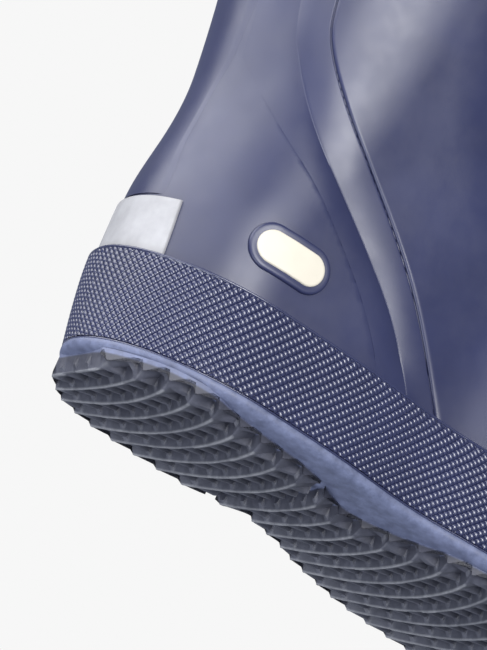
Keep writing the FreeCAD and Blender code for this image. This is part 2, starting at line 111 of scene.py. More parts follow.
# The upper edges of the foxing, the heel counter and the toe guard, as (distance forward, height)
FOXING_TOP = ((-6, 38.8), (12, 37.5), (35, 37.4), (100, 37.4), (150, 35.9), (215, 33), (300, 33))
COUNTER_TOP = ((-10, 84), (20, 80), (52, 62), (78, 11), (79, -50))
GUARD_TOP = ((214, 30), (236, 38.5), (262, 43.5), (284, 45.5), (300, 45.8))


# ------------------------------------------------------------------ the foot-and-leg form


def smooth_through(points, x):
    """A smooth curve through (x, y) points, which doesn't overshoot between them."""
    px, py = np.array(points, float).T
    slopes = np.diff(py) / np.diff(px)
    tangents = np.empty(len(px))
    tangents[0], tangents[-1] = slopes[0], slopes[-1]
    before, after = slopes[:-1], slopes[1:]
    together = before * after > 0
    total = np.where(together, before + after, 1.0)
    tangents[1:-1] = np.where(together, 2 * before * after / total, 0.0)
    x = np.clip(x, px[0], px[-1])
    i = np.clip(np.searchsorted(px, x, side="right") - 1, 0, len(px) - 2)
    span = px[i + 1] - px[i]
    s = (x - px[i]) / span
    return (
        (1 + 2 * s) * (1 - s) ** 2 * py[i]
        + s * (1 - s) ** 2 * span * tangents[i]
        + s * s * (3 - 2 * s) * py[i + 1]
        + s * s * (s - 1) * span * tangents[i + 1]
    )


def eased_table(points, blur):
    """The curve through points, sampled each millimetre and blurred, as a fast lookup."""
    low, high = points[0][0], points[-1][0]
    samples = np.arange(low, high + 1.0)
    reach = int(3 * blur)
    values = smooth_through(points, samples)
    ramp = np.arange(1, reach + 1)
    before = values[0] - (values[1] - values[0]) * ramp[::-1]
    after = values[-1] + (values[-1] - values[-2]) * ramp
    kernel = np.exp(-0.5 * (np.arange(-reach, reach + 1) / blur) ** 2)
    blurred = np.convolve(np.concatenate([before, values, after]), kernel / kernel.sum(), "valid")
    return lambda x: np.interp(x, samples, blurred)


back_at = eased_table(BACK_LINE, 4)
front_inset_at = eased_table(FRONT_LINE, 2)
plan_width_at = eased_table(PLAN_WIDTH, 6)
leg_width_at = eased_table(LEG_WIDTH, 6)
back_round_at = eased_table(BACK_ROUND, 5)
front_round_at = eased_table(FRONT_ROUND, 5)
strip_rear_at = eased_table(STRIP_REAR, 3)
strip_front_at = eased_table(STRIP_FRONT, 3)
stay_edge_at = eased_table(STAY_EDGE, 3)


def ease(x, start, end):
    """A smooth change from 0 at start to 1 at end."""
    s = np.clip((x - start) / (end - start), 0.0, 1.0)
    return s * s * (3 - 2 * s)


def centre_line(x):
    """The sideways place of the form's middle, which swings inward at the toe."""
    return TOE_SWING * ease(x, 80, 190)


def front_at(z):
    return FORM_LENGTH - front_inset_at(z)


def half_width(x, z):
    """Half the form's width there, rounded off toward the heel and the toe."""
    full = plan_width_at(x) + (leg_width_at(z) - plan_width_at(x)) * ease(z, 34, 112)
    full = full - 1.6 * (1 - ease(z, 0, 34))
    back_share = np.clip((x - back_at(z)) / back_round_at(z), 0, 1)
    front_share = np.clip((front_at(z) - x) / front_round_at(z), 0, 1)
    return full * np.sqrt(1 - (1 - back_share) ** 2) * np.sqrt(1 - (1 - front_share) ** 2)


def form_point(turn, z):
    """Points on the form: turn is 0 at the back and grows round the outer side."""
    turn, z = np.broadcast_arrays(np.asarray(turn, float), np.asarray(z, float))
    back, front = back_at(z), front_at(z)
    x = back + (front - back) * (1 - np.cos(turn)) / 2
    side = np.where(np.sin(turn) >= 0, -1.0, 1.0)
    return np.stack([x, centre_line(x) + side * half_width(x, z), z], -1)


def form_normal(turn, z):
    """The outward direction, square to the form."""
    step = 0.02
    along = form_point(turn + step, z) - form_point(turn - step, z)
    up = form_point(turn, z + 1.0) - form_point(turn, z - 1.0)
    normal = np.cross(along, up)
    return normal / np.linalg.norm(normal, axis=-1, keepdims=True)


def form_offset(turn, z, offset):
    """Points of the form moved outward by offset, square to the surface."""
    return form_point(turn, z) + form_normal(turn, z) * np.asarray(offset)[..., None]


def turn_at(x, z):
    """The turn, on the outer side, of the form's point that far forward at that height."""
    back, front = back_at(z), front_at(z)
    return np.arccos(np.clip(1 - 2 * (x - back) / (front - back), -1, 1))


def top_edge(x, below=0.0):
    """The height of the sloping top edge, or of a line that far below it."""
    return TOP_BACK + (TOP_FRONT - TOP_BACK) * (x + 14) / LEG_DEPTH - below


def foxing_top(x):
    return smooth_through(FOXING_TOP, x)


def around_form(count):
    """Evenly spaced turns once round the form."""
    return np.linspace(0, 2 * math.pi, count, endpoint=False)


# ------------------------------------------------------------------ mesh helpers


def to_row(points):
    """From the working frame, in millimetres, to the row frame, in metres."""
    moved = np.asarray(points, float) - np.array([HEEL_TO_ORIGIN, AXIS_TO_ORIGIN, 0.0])
    return moved * MM


def new_object(name, points, faces):
    mesh = bpy.data.meshes.new(name)
    mesh.from_pydata(to_row(points).tolist(), [], faces)
    mesh.validate()
    mesh.polygons.foreach_set("use_smooth", [True] * len(mesh.polygons))
    mesh.update()
    made = bpy.data.objects.new(name, mesh)
    bpy.context.scene.collection.objects.link(made)
    return made


def grid_faces(rows, cols, start, wrap, flip=False):
    """Quads of a rows by cols grid of points that begins at index start."""
    faces = []
    last = cols if wrap else cols - 1
    for r in range(rows - 1):
        for c in range(last):
            a = start + r * cols + c
            b = start + r * cols + (c + 1) % cols
            quad = (a, b, b + cols, a + cols)
            faces.append(quad[::-1] if flip else quad)
    return faces


def sheet_solid(name, outer, inner, wrap):
    """A closed layer between two grids of points, outer and inner, of the same shape."""
    rows, cols = outer.shape[:2]
    count = rows * cols
    points = np.concatenate([outer.reshape(-1, 3), inner.reshape(-1, 3)])
    faces = grid_faces(rows, cols, 0, wrap) + grid_faces(rows, cols, count, wrap, flip=True)
    last = cols if wrap else cols - 1
    top = (rows - 1) * cols
    for c in range(last):
        d = (c + 1) % cols
        faces.append((c, c + count, d + count, d))
        faces.append((top + c, top + d, top + d + count, top + c + count))
    if not wrap:
        for r in range(rows - 1):
            a, b = r * cols, (r + 1) * cols
            faces.append((a, b, b + count, a + count))
            a, b = a + cols - 1, b + cols - 1
            faces.append((a, a + count, b + count, b))
    made = new_object(name, points, faces)
    fix_normals(made)
    sharpen(made)
    return made


def ring_solid(name, rings):
    """A solid ring: the sections' points in order, each carried once round the form."""
    count, cols = len(rings), len(rings[0])
    faces = grid_faces(count, cols, 0, True)
    last = (count - 1) * cols
    faces += [(c, last + c, last + (c + 1) % cols, (c + 1) % cols) for c in range(cols)]
    made = new_object(name, np.array(rings).reshape(-1, 3), faces)
    fix_normals(made)
    return made


def fix_normals(obj):
    bm = bmesh.new()
    bm.from_mesh(obj.data)
    bmesh.ops.recalc_face_normals(bm, faces=bm.faces)
    bm.to_mesh(obj.data)
    bm.free()


def sharpen(obj, degrees=50):
    """Marks edges that turn by more than that as sharp, so that smooth shading breaks there."""
    obj.data.set_sharp_from_angle(angle=math.radians(degrees))


def eased_steps(count, edge, rounded=(0.0, 0.06, 0.2, 0.45, 0.8)):
    """Shares from 0 to 1 with a few close steps, edge long in all, at both ends."""
    ends = np.array(rounded) * edge
    middle = np.linspace(edge, 1 - edge, count)
    return np.concatenate([ends, middle, 1 - ends[::-1]])


def edge_height(distance, radius):
    """0 at an edge, 1 from radius inward, with a round shoulder."""
    s = np.clip(distance / radius, 0, 1)
    return np.sqrt(1 - (1 - s) ** 2)


def spread_levels(low, high, count):
    """Heights from low to high, closer together where the vamp and toe are nearly level."""
    z = np.linspace(low, high, 1200)
    slope = np.gradient(front_at(z), z)
    length = np.concatenate([[0], np.cumsum(0.5 + 0.5 * np.sqrt(1 + slope[1:] ** 2))])
    return np.interp(np.linspace(0, length[-1], count), length, z)


# ------------------------------------------------------------------ materials


def material(name, colour, roughness, **sockets):
    made = bpy.data.materials.new(name)
    made.use_nodes = True
    tree = made.node_tree
    shader = tree.nodes["Principled BSDF"]
    shader.inputs["Base Color"].default_value = (*colour, 1)
    shader.inputs["Roughness"].default_value = roughness
    for socket, value in sockets.items():
        shader.inputs[socket.replace("_", " ")].default_value = value
    return made, tree, shader


def add_node(tree, kind, **values):
    made = tree.nodes.new(kind)
    for name, value in values.items():
        if name in made.inputs:
            made.inputs[name].default_value = value
        else:
            setattr(made, name, value)
    return made


def coordinates(tree):
    return add_node(tree, "ShaderNodeTexCoord").outputs["Object"]


def noise(tree, scale, detail=3.0, rough=0.55, stretch=None):
    vector = coordinates(tree)
    if stretch:
        mapping = add_node(tree, "ShaderNodeMapping")
        mapping.inputs["Scale"].default_value = stretch
        tree.links.new(vector, mapping.inputs["Vector"])
        vector = mapping.outputs["Vector"]
    made = add_node(tree, "ShaderNodeTexNoise", Scale=scale, Detail=detail, Roughness=rough)
    tree.links.new(vector, made.inputs["Vector"])
    return made.outputs["Fac"]


def ramp(tree, value, stops):
    """A colour ramp through (place, colour) stops."""
    made = add_node(tree, "ShaderNodeValToRGB")
    elements = made.color_ramp.elements
    while len(elements) < len(stops):
        elements.new(0.5)
    for element, (place, colour) in zip(elements, stops):
        element.position = place
        element.color = (*colour, 1)
    tree.links.new(value, made.inputs["Fac"])
    return made.outputs["Color"]


def spread(tree, value, low, high, source=(0.3, 0.7)):
    made = add_node(tree, "ShaderNodeMapRange")
    made.inputs["From Min"].default_value = source[0]
    made.inputs["From Max"].default_value = source[1]
    made.inputs["To Min"].default_value = low
    made.inputs["To Max"].default_value = high
    tree.links.new(value, made.inputs["Value"])
    return made.outputs["Result"]


def bump(tree, shader, height, strength, distance, after=None):
    made = add_node(tree, "ShaderNodeBump", Strength=strength, Distance=distance)
    tree.links.new(height, made.inputs["Height"])
    if after is not None:
        tree.links.new(after, made.inputs["Normal"])
    tree.links.new(made.outputs["Normal"], shader.inputs["Normal"])
    return made.outputs["Normal"]


def scaled(colour, factor):
    return tuple(min(c * factor, 1.0) for c in colour)


NAVY = (0.015, 0.0185, 0.056)


def rubber_material(name, colour, roughness, grain=0.12, coat=0.08):
    """Satin moulded rubber: cloudy tone, patchy gloss, a fine skin and a few faint scuffs."""
    made, tree, shader = material(name, colour, roughness, Coat_Weight=coat, Coat_Roughness=0.3)
    cloud = noise(tree, 28, 4)
    tone = ramp(tree, cloud, [(0.3, scaled(colour, 0.88)), (0.7, scaled(colour, 1.14))])
    tree.links.new(tone, shader.inputs["Base Color"])
    gloss = noise(tree, 95, 5, 0.6)
    patchy = spread(tree, gloss, roughness - 0.05, roughness + 0.07)
    tree.links.new(patchy, shader.inputs["Roughness"])
    skin = bump(tree, shader, noise(tree, 2600, 2), grain, 0.00004)
    bump(tree, shader, noise(tree, 420, 4, 0.6, (1, 1, 0.35)), grain * 0.7, 0.00012, skin)
    return made


def tread_material():
    """Matt outsole rubber, coloured by height: paler at the teeth's tips, partly dust and partly a
    painted highlight; painted shade down in the pockets; and a painted bluish sheen over the navy of
    the plate's flat margin.
    """
    # By height: the pale tip colour is partly dust and partly a painted highlight, and the dark
    # colour in the pockets is painted shade.
    pocket_shade, mid, pale = (0.032, 0.034, 0.050), (0.050, 0.053, 0.072), (0.19, 0.195, 0.215)
    # The margin colour is the plate's navy, lightened and blued by a painted sheen.
    margin = (0.085, 0.10, 0.17)
    made, tree, shader = material("tread_rubber", mid, 0.55)
    place = add_node(tree, "ShaderNodeSeparateXYZ")
    tree.links.new(coordinates(tree), place.inputs["Vector"])
    height = spread(tree, place.outputs["Z"], 0.0, 1.0, (0.0, 0.006))
    # Painted highlight toward the tips, painted shade in the pockets, painted sheen on the margin.
    stops = [(0.0, pale), (0.1, mid), (0.6, pocket_shade), (0.78, pocket_shade), (0.87, margin)]
    painted_light_by_height = ramp(tree, height, stops)
    dust = noise(tree, 240, 6, 0.7)
    tone = ramp(tree, dust, [(0.35, (0.7, 0.7, 0.72)), (0.7, (1.35, 1.33, 1.3))])
    mixed = add_node(tree, "ShaderNodeMix", data_type="RGBA", blend_type="MULTIPLY")
    mixed.inputs["Factor"].default_value = 1.0
    tree.links.new(painted_light_by_height, mixed.inputs["A"])
    tree.links.new(tone, mixed.inputs["B"])
    tree.links.new(mixed.outputs["Result"], shader.inputs["Base Color"])
    tree.links.new(spread(tree, dust, 0.42, 0.7), shader.inputs["Roughness"])
    fine = bump(tree, shader, noise(tree, 1800, 4, 0.7), 0.35, 0.00008)
    bump(tree, shader, noise(tree, 260, 5, 0.65), 0.3, 0.0003, fine)
    return made


def woven(name, colour, roughness, pitch, depth, **sockets):
    """Cloth or tape: crossed families of threads, with uneven tone."""
    made, tree, shader = material(name, colour, roughness, **sockets)
    height = None
    for axis in ("X", "Y", "Z"):
        wave = add_node(tree, "ShaderNodeTexWave", bands_direction=axis, Scale=1 / pitch / 20)
        wave.inputs["Distortion"].default_value = 0.6
        tree.links.new(coordinates(tree), wave.inputs["Vector"])
        if height is None:
            height = wave.outputs["Fac"]
            continue
        joined = add_node(tree, "ShaderNodeMath", operation="MULTIPLY")
        tree.links.new(height, joined.inputs[0])
        tree.links.new(wave.outputs["Fac"], joined.inputs[1])
        height = joined.outputs["Value"]
    stops = [(0.3, scaled(colour, 0.86)), (0.7, scaled(colour, 1.1))]
    tone = ramp(tree, noise(tree, 160, 5), stops)
    tree.links.new(tone, shader.inputs["Base Color"])
    bump(tree, shader, height, 0.5, depth)
    return made


MATERIALS = {
    "navy_rubber": rubber_material("navy_rubber", NAVY, 0.37),
    "foxing_rubber": rubber_material("foxing_rubber", NAVY, 0.27, grain=0.04, coat=0.6),
    "binding_rubber": rubber_material("binding_rubber", scaled(NAVY, 0.9), 0.42),
    "tread_rubber": tread_material(),
    "reflective_film": woven("reflective_film", (0.27, 0.27, 0.285), 0.6, 0.0005, 0.00003),
    "inlay_cream": rubber_material("inlay_cream", (0.46, 0.43, 0.36), 0.6, grain=0.05),
    "lining_cotton": woven(
        "lining_cotton", (0.30, 0.32, 0.37), 0.9, 0.0016, 0.0004, Sheen_Weight=0.4
    ),
    "canvas": woven("canvas", (0.5, 0.47, 0.4), 0.9, 0.001, 0.0003),
    "stiffener": rubber_material("stiffener", (0.10, 0.10, 0.11), 0.6),
    "sole_foam": rubber_material("sole_foam", (0.09, 0.09, 0.1), 0.8, grain=0.4),
    "fibre_board": woven("fibre_board", (0.45, 0.33, 0.2), 0.85, 0.002, 0.0002),
    "footbed_felt": woven(
        "footbed_felt", (0.16, 0.18, 0.22), 0.95, 0.0012, 0.0003, Sheen_Weight=0.5
    ),
}


def dress(piece, slot, *nodes):
    """Gives a piece its material and its place on the boot, and hides the CAD nodes that it stands
    for.
    """
    piece.data.materials.clear()
    piece.data.materials.append(MATERIALS[slot])
    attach(piece, "root")
    if nodes:
        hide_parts(*nodes)
    return piece


# ------------------------------------------------------------------ upper


def level_grid(low, high, rows):
    """Heights, one row for each level and one column for each turn, between two edges."""
    first, last = 9, 264
    shares = (spread_levels(first, last, rows) - first) / (last - first)
    return low + (high - low) * shares[:, None]


def top_heights(turns, below):
    """The height of the sloping top edge at each turn."""
    return top_edge(form_point(turns, 270.0)[..., 0], below)


def valley_depth(z):
    """How deep the soft valley along the side strip's rear edge is."""
    return 1.25 * ease(z, 36, 50) * (1 - ease(z, 150, 230))


def valley_reach(z):
    """How far back from the strip the valley starts."""
    return np.clip(strip_rear_at(z) - back_at(z) - 3.0, 2.0, 13.0)


def valley_profile(behind, reach):
    """The share of the valley's depth at a distance behind the strip's rear edge."""
    fade = np.exp(-behind / 4.5) - np.exp(-reach / 4.5) * behind / reach
    return np.where(behind < reach, fade, 0.0)


def build_upper():
    """The base rubber, with a soft hollow just behind each side strip."""
    turns = around_form(360)
    z = level_grid(FOXING_BOTTOM + 0.6, top_heights(turns, EDGE_COVER), 230)
    turn = np.broadcast_to(turns, z.shape)
    x = form_point(turn, z)[..., 0]
    reach = valley_reach(z)
    behind = np.maximum(strip_rear_at(z) - x, 0.0)
    behind_front = x < strip_front_at(z) - 0.8
    under_strip = (behind < reach - 1) & behind_front
    depth = valley_depth(z) * (valley_profile(behind, reach) + 0.25 * under_strip)
    outer = form_offset(turn, z, -depth * behind_front)
    inner = form_offset(turn, z, -RUBBER)
    return dress(sheet_solid("upper_rubber", outer, inner, True), "navy_rubber", "upper_shell")


def build_front_panel():
    """The panel over the front of the leg and the vamp, with a crisp rear edge each side."""
    groove, edge_lift = 0.5, 0.05
    across = eased_steps(300, 0.006)
    low, high = 30, top_edge(60, BINDING_HEIGHT)
    share = (spread_levels(low, 250, 220) - low) / 220
    z_plain = low + (high - low) * share
    edge_x = strip_front_at(z_plain) + groove
    start = turn_at(edge_x, z_plain)
    turn = start[:, None] + (2 * math.pi - 2 * start)[:, None] * across
    tilt = top_heights(turn, BINDING_HEIGHT) - high
    z = z_plain[:, None] + tilt * ease(share, 0.5, 1.0)[:, None]
    turn_from_edge = np.minimum(turn - start[:, None], 2 * math.pi - start[:, None] - turn)
    distance = turn_from_edge * LEG_RADIUS
    outer = form_offset(turn, z, edge_lift + (PANEL - edge_lift) * edge_height(distance, 0.9))
    inner = form_offset(turn, z, GAP)
    panel = sheet_solid("front_panel_rubber", outer, inner, False)
    return dress(panel, "navy_rubber", "front_panel")


def build_side_strip(name, side, node):
    """A strip with the near side of its valley, from where it climbs forward to a crisp edge."""
    flank = np.array([1, 0.92, 0.84, 0.74, 0.62, 0.5, 0.4, 0.31, 0.23, 0.17, 0.11, 0.06, 0.025])
    rear = [0, 0.02, 0.04, 0.07, 0.11, 0.16]
    front = [0.95, 0.965, 0.98, 0.99, 0.996, 1]
    across = np.concatenate([rear, np.linspace(0.22, 0.93, 12), front])
    z_plain = np.linspace(33, top_edge(0, BINDING_HEIGHT) - 0.2, 260)[:, None]
    rear_edge, front_edge = strip_rear_at(z_plain), strip_front_at(z_plain) + 0.15
    width = front_edge - rear_edge
    reach, valley = valley_reach(z_plain), valley_depth(z_plain)
    x = np.concatenate([rear_edge - reach * flank, rear_edge + width * across], 1)
    z = np.broadcast_to(z_plain, x.shape)
    turn = turn_at(x, z)
    if side == "inner":
        turn = 2 * math.pi - turn
    descent = GAP - valley * valley_profile(reach * flank, reach)
    climb = GAP + 0.1 * edge_height(across, 0.08) + 0.25 * across
    strip = climb - valley * (1 - across) ** 2
    foot = 0.05
    rounded = foot + (strip - foot) * edge_height(1 - across, 0.05)
    strip = np.where(across > 0.93, rounded, strip)
    outer = form_offset(turn, z, np.concatenate([descent, strip], 1))
    inner = form_offset(turn, z, -1.7)
    return dress(sheet_solid(name, outer, inner, False), "navy_rubber", node)


def build_back_stay():
    """The low, soft-edged reinforcement up the back of the leg."""
    across = eased_steps(60, 0.10)
    z_plain = np.linspace(57.0, top_edge(-14, BINDING_HEIGHT) - 0.2, 200)
    start = turn_at(stay_edge_at(z_plain), z_plain)
    turn = start[:, None] * (1 - 2 * across)
    z = np.broadcast_to(z_plain[:, None], turn.shape)
    distance = np.minimum(across, 1 - across) * 26
    height = 0.55 * STAY * ease(distance, 0, 3.0)
    outer = form_offset(turn, z, height + GAP)
    inner = form_offset(turn, z, -0.5)
    return dress(sheet_solid("back_stay_rubber", outer, inner, False), "navy_rubber", "back_stay")


def build_heel_tab():
    """The reflective patch round the back of the heel, just above the foxing."""
    across = eased_steps(60, 0.02)
    up = eased_steps(16, 0.05)
    tab_bottom, tab_top = 36.6, 56.0
    z_plain = tab_bottom + (tab_top - tab_bottom) * up
    start = turn_at(6.6 - 1.2 * up, z_plain)
    turn = start[:, None] * (1 - 2 * across)
    z = np.broadcast_to(z_plain[:, None], turn.shape)
    sideways = np.minimum(across, 1 - across) * 40
    upward = np.minimum(up, 1 - up) * (tab_top - tab_bottom)
    shoulder = np.minimum(edge_height(sideways, 0.5), edge_height(upward, 0.5)[:, None])
    outer = form_offset(turn, z, 0.1 + (TAB - 0.1) * shoulder)
    inner = form_offset(turn, z, -0.2)
    return dress(sheet_solid("reflective_tab", outer, inner, False), "reflective_film", "heel_tab")


def build_toe_guard():
    """The low guard round the toe, with a rounded upper edge."""
    rear_end, rear_height = 218.0, 34.0
    across = eased_steps(150, 0.01)
    up = eased_steps(14, 0.06)
    start = float(turn_at(rear_end, rear_height))
    turns = start + (2 * math.pi - 2 * start) * across
    x_guess = form_point(turns, 38.0)[..., 0]
    low = foxing_top(x_guess) - 3.0
    high = np.maximum(smooth_through(GUARD_TOP, x_guess), low + 0.4)
    z = low + (high - low) * up[:, None]
    turn = np.broadcast_to(turns, z.shape)
    foot = PANEL + 0.05
    height = foot + (TOE_GUARD - PANEL - 0.05) * edge_height((1 - up) * 12, 0.9)[:, None]
    outer = form_offset(turn, z, height)
    inner = form_offset(turn, z, PANEL - 0.2)
    return dress(sheet_solid("toe_guard_rubber", outer, inner, False), "navy_rubber", "toe_guard")


def build_binding():
    """A rolled edge: down the outside, over the top and a little way down inside."""
    out, inside = BINDING, -BINDING_INSIDE
    section = [
        (0.1, -14.0), (1.25, -14.0), (1.52, -13.8), (out, -13.4), (out, -9.0), (out, -5.0),
        (out, -2.2), (1.5, -1.2), (1.1, -0.5), (0.5, -0.1), (-0.4, 0.0), (-2.6, 0.0),
        (-3.6, -0.1), (-4.2, -0.5), (-4.5, -1.2), (inside, -2.2), (inside, -8.0),
        (inside, -13.2), (-4.3, -13.7), (-3.7, -13.8),
    ]
    turns = around_form(360)
    top = top_heights(turns, 0.0)
    made = ring_solid("rolled_binding", [form_offset(turns, top + dz, off) for off, dz in section])
    sharpen(made)
    return dress(made, "binding_rubber", "top_binding")


def build_backing():
    """The canvas between rubber and lining, above the heel counter and behind the toe puff."""
    turns = around_form(240)
    levels = np.linspace(FOXING_BOTTOM + 2.5, 90, 162)[:, None]
    x = form_point(turns, levels)[..., 0]
    counter_top = np.interp(x, *zip(*COUNTER_TOP))
    puff_low, puff_high = 11, 70
    puff_rear = 252 - 16 * (levels - puff_low) / (puff_high - puff_low)
    stiffened = (levels < counter_top) | ((levels < puff_high) & (x > puff_rear))
    low = np.where(stiffened, levels, levels[0]).max(axis=0) + 0.2
    z = level_grid(low, top_heights(turns, EDGE_COVER + 0.3), 120)
    turn = np.broadcast_to(turns, z.shape)
    outer = form_offset(turn, z, -RUBBER - GAP)
    inner = form_offset(turn, z, -STIFFENED + 0.05)
    return dress(sheet_solid("canvas_layer", outer, inner, True), "canvas", "canvas_backing")


def build_lining():
    """The knitted sock inside the rubber, from the insole to the binding."""
    turns = around_form(240)
    z = level_grid(FOXING_BOTTOM + 1.0, top_heights(turns, EDGE_COVER + 0.3), 150)
    turn = np.broadcast_to(turns, z.shape)
    outer = form_offset(turn, z, -STIFFENED - GAP)
    inner = form_offset(turn, z, -INNER)
    made = sheet_solid("lining_knit", outer, inner, True)
    dress(made, "lining_cotton", "lining")
    return made


def build_footbed():
    """The loose insole, with a slightly dished felt top."""
    rear, front = 5.5, 290.5
    heel_lift, toe_lift, board = 17, 12, 2.3
    inset, level = 4.6, 20.0
    xs = rear + (front - rear) * (1 - np.cos(np.linspace(0, math.pi, 140))) / 2
    across = np.linspace(-1, 1, 41)
    lift = heel_lift + (toe_lift - heel_lift) * ease(xs, 60, 160) + board
    width = np.maximum(half_width(xs, level) - inset, 0.2)
    width = np.where(xs < 9, width * np.sqrt(np.clip((xs - 5.4) / 3.6, 0, 1)), width)
    y = centre_line(xs)[:, None] + width[:, None] * across
    x = np.broadcast_to(xs[:, None], y.shape)
    rim = np.sqrt(np.clip(1 - np.abs(across) ** 8, 0, 1))
    dish = 0.8 * across**2
    top = lift[:, None] + 3.2 + dish + 0.5 * rim - 0.5
    bottom = np.broadcast_to(lift[:, None], top.shape)
    upper = np.stack([x, y, top], -1)
    lower = np.stack([x, y, bottom], -1)
    made = sheet_solid("footbed_felt_pad", upper, lower, False)
    dress(made, "footbed_felt", "footbed")
    return made


# ------------------------------------------------------------------ badge


def pill_distance(u, v, reach, radius):
    """How far inside a level pill's edge a point lies."""
    nearest = np.clip(u, -reach, reach)
    return radius - np.hypot(u - nearest, v)


def pill_grid(reach, radius, rings, around):
    """Rings of points from a pill's middle line out to its edge."""
    turns = around_form(around)
    edge_u = np.cos(turns)
    edge_v = np.sin(turns)
    ends = np.where(edge_u >= 0, reach, -reach) * ease(np.abs(edge_u), 0.0, 0.05)
    shares = np.array(rings)[:, None]
    u = ends * ease(shares, 0.0, 0.7) + edge_u * radius * shares
    v = edge_v * radius * shares
    return u, v


def build_badge():
    """A plain plaque with a plain cream inlay, on the outer side of the heel."""
    forward, height, length, width, rim = 37.3, 53.3, 28.0, 15.0, 2.3
    reach = (length - width) / 2
    around = 144

    def on_skin(u, v, offset):
        x, z = forward + u, height + v
        return form_offset(turn_at(x, z), z, offset)

    rings = [0.02, 0.2, 0.4, 0.6, 0.78, 0.88, 0.94, 0.975, 0.992, 1.0]
    u, v = pill_grid(reach, width / 2, rings, around)
    inside = pill_distance(u, v, reach, width / 2)
    step = ease(inside, rim - 0.25, rim + 0.05)
    top = 0.05 + (PLAQUE - 0.05) * edge_height(inside, 0.7) - 0.3 * step
    outer = on_skin(u, v, top)
    inner = on_skin(u, v, -1.4)
    plaque = sheet_solid("badge_plaque_rubber", outer, inner, True)
    cap_ends(plaque, around, len(rings))
    dress(plaque, "navy_rubber", "badge_plaque")

    radius = width / 2 - rim
    u, v = pill_grid(reach, radius, rings, around)
    inside = pill_distance(u, v, reach, radius)
    top = 0.6 + (INLAY - 0.6) * edge_height(inside, 0.5)
    outer = on_skin(u, v, top)
    inner = on_skin(u, v, 0.4)
    inlay = sheet_solid("badge_inlay_cream", outer, inner, True)
    cap_ends(inlay, around, len(rings))
    dress(inlay, "inlay_cream", "badge_inlay")


def cap_ends(obj, around, rings):
    """Closes the small hole that the innermost ring leaves, by filling it in."""
    bm = bmesh.new()
    bm.from_mesh(obj.data)
    bm.verts.ensure_lookup_table()
    doubled = [f for f in bm.faces if all(v.index % (around * rings) < around for v in f.verts)]
    bmesh.ops.delete(bm, geom=doubled, context="FACES")
    for start in (0, around * rings):
        ring = [bm.verts[start + k] for k in range(around)]
        bm.faces.new(ring)
    bmesh.ops.remove_doubles(bm, verts=bm.verts, dist=1e-7)
    bmesh.ops.recalc_face_normals(bm, faces=bm.faces)
    for face in bm.faces:
        face.smooth = True
    bm.to_mesh(obj.data)
    bm.free()
    sharpen(obj)


# ------------------------------------------------------------------ foxing


def build_foxing():
    """The thick band round the foot: a plain band with beaded edges and knurling between them."""
    turns = around_form(720)
    profile = [
        (0.0, 1.1), (0.0, 2.2), (0.003, 2.75), (0.01, 2.95), (0.02, 2.9), (0.03, 2.3),
        (0.25, 2.25), (0.5, 2.25), (0.75, 2.25), (0.962, 2.3), (0.972, 2.8), (0.985, 2.95),
        (0.996, 2.7), (1.0, 2.2), (1.0, 1.1),
    ]
    top = foxing_top(form_point(turns, 36.0)[..., 0])
    rings = [
        form_offset(turns, FOXING_BOTTOM + (top - FOXING_BOTTOM) * share, offset)
        for share, offset in profile
    ]
    band = ring_solid("foxing_knurled", rings)

    dense = np.linspace(0, 2 * math.pi, 4001)
    line = form_offset(dense, 23.0, FOXING)
    travelled = np.concatenate([[0], np.cumsum(np.linalg.norm(np.diff(line, axis=0), axis=1))])
    around_length = KNURL_REPEAT * round(travelled[-1] / KNURL_REPEAT)
    band_height, stud_foot = 28.0, 2.28
    sheet = knurl_sheet(around_length, band_height, 0.9, band_height - 1.0)
    turn = np.interp(sheet[0][:, 0] * travelled[-1] / around_length, travelled, dense)
    top = foxing_top(form_point(turn, 36.0)[..., 0])
    z = FOXING_BOTTOM + (top - FOXING_BOTTOM) * sheet[0][:, 1] / band_height
    points = form_offset(turn, z, stud_foot + (FOXING - stud_foot) * sheet[0][:, 2])
    knurl = new_object("knurl", points, sheet[1])
    merged = bmesh.new()
    merged.from_mesh(band.data)
    merged.from_mesh(knurl.data)
    bmesh.ops.remove_doubles(merged, verts=merged.verts, dist=2e-6)
    merged.to_mesh(band.data)
    merged.free()
    bpy.data.objects.remove(knurl)
    sharpen(band, 62)
    return dress(band, "foxing_rubber", "foxing_band")


# The knurl's pattern comes back to itself after this length
KNURL_REPEAT = 15.0
# A stud's outline from its foot up: its shares of the spacing along and across a row, and height
STUD_RINGS = ((1.0, 1.0, 0.0), (0.9, 0.8, 0.55), (0.58, 0.46, 0.87))


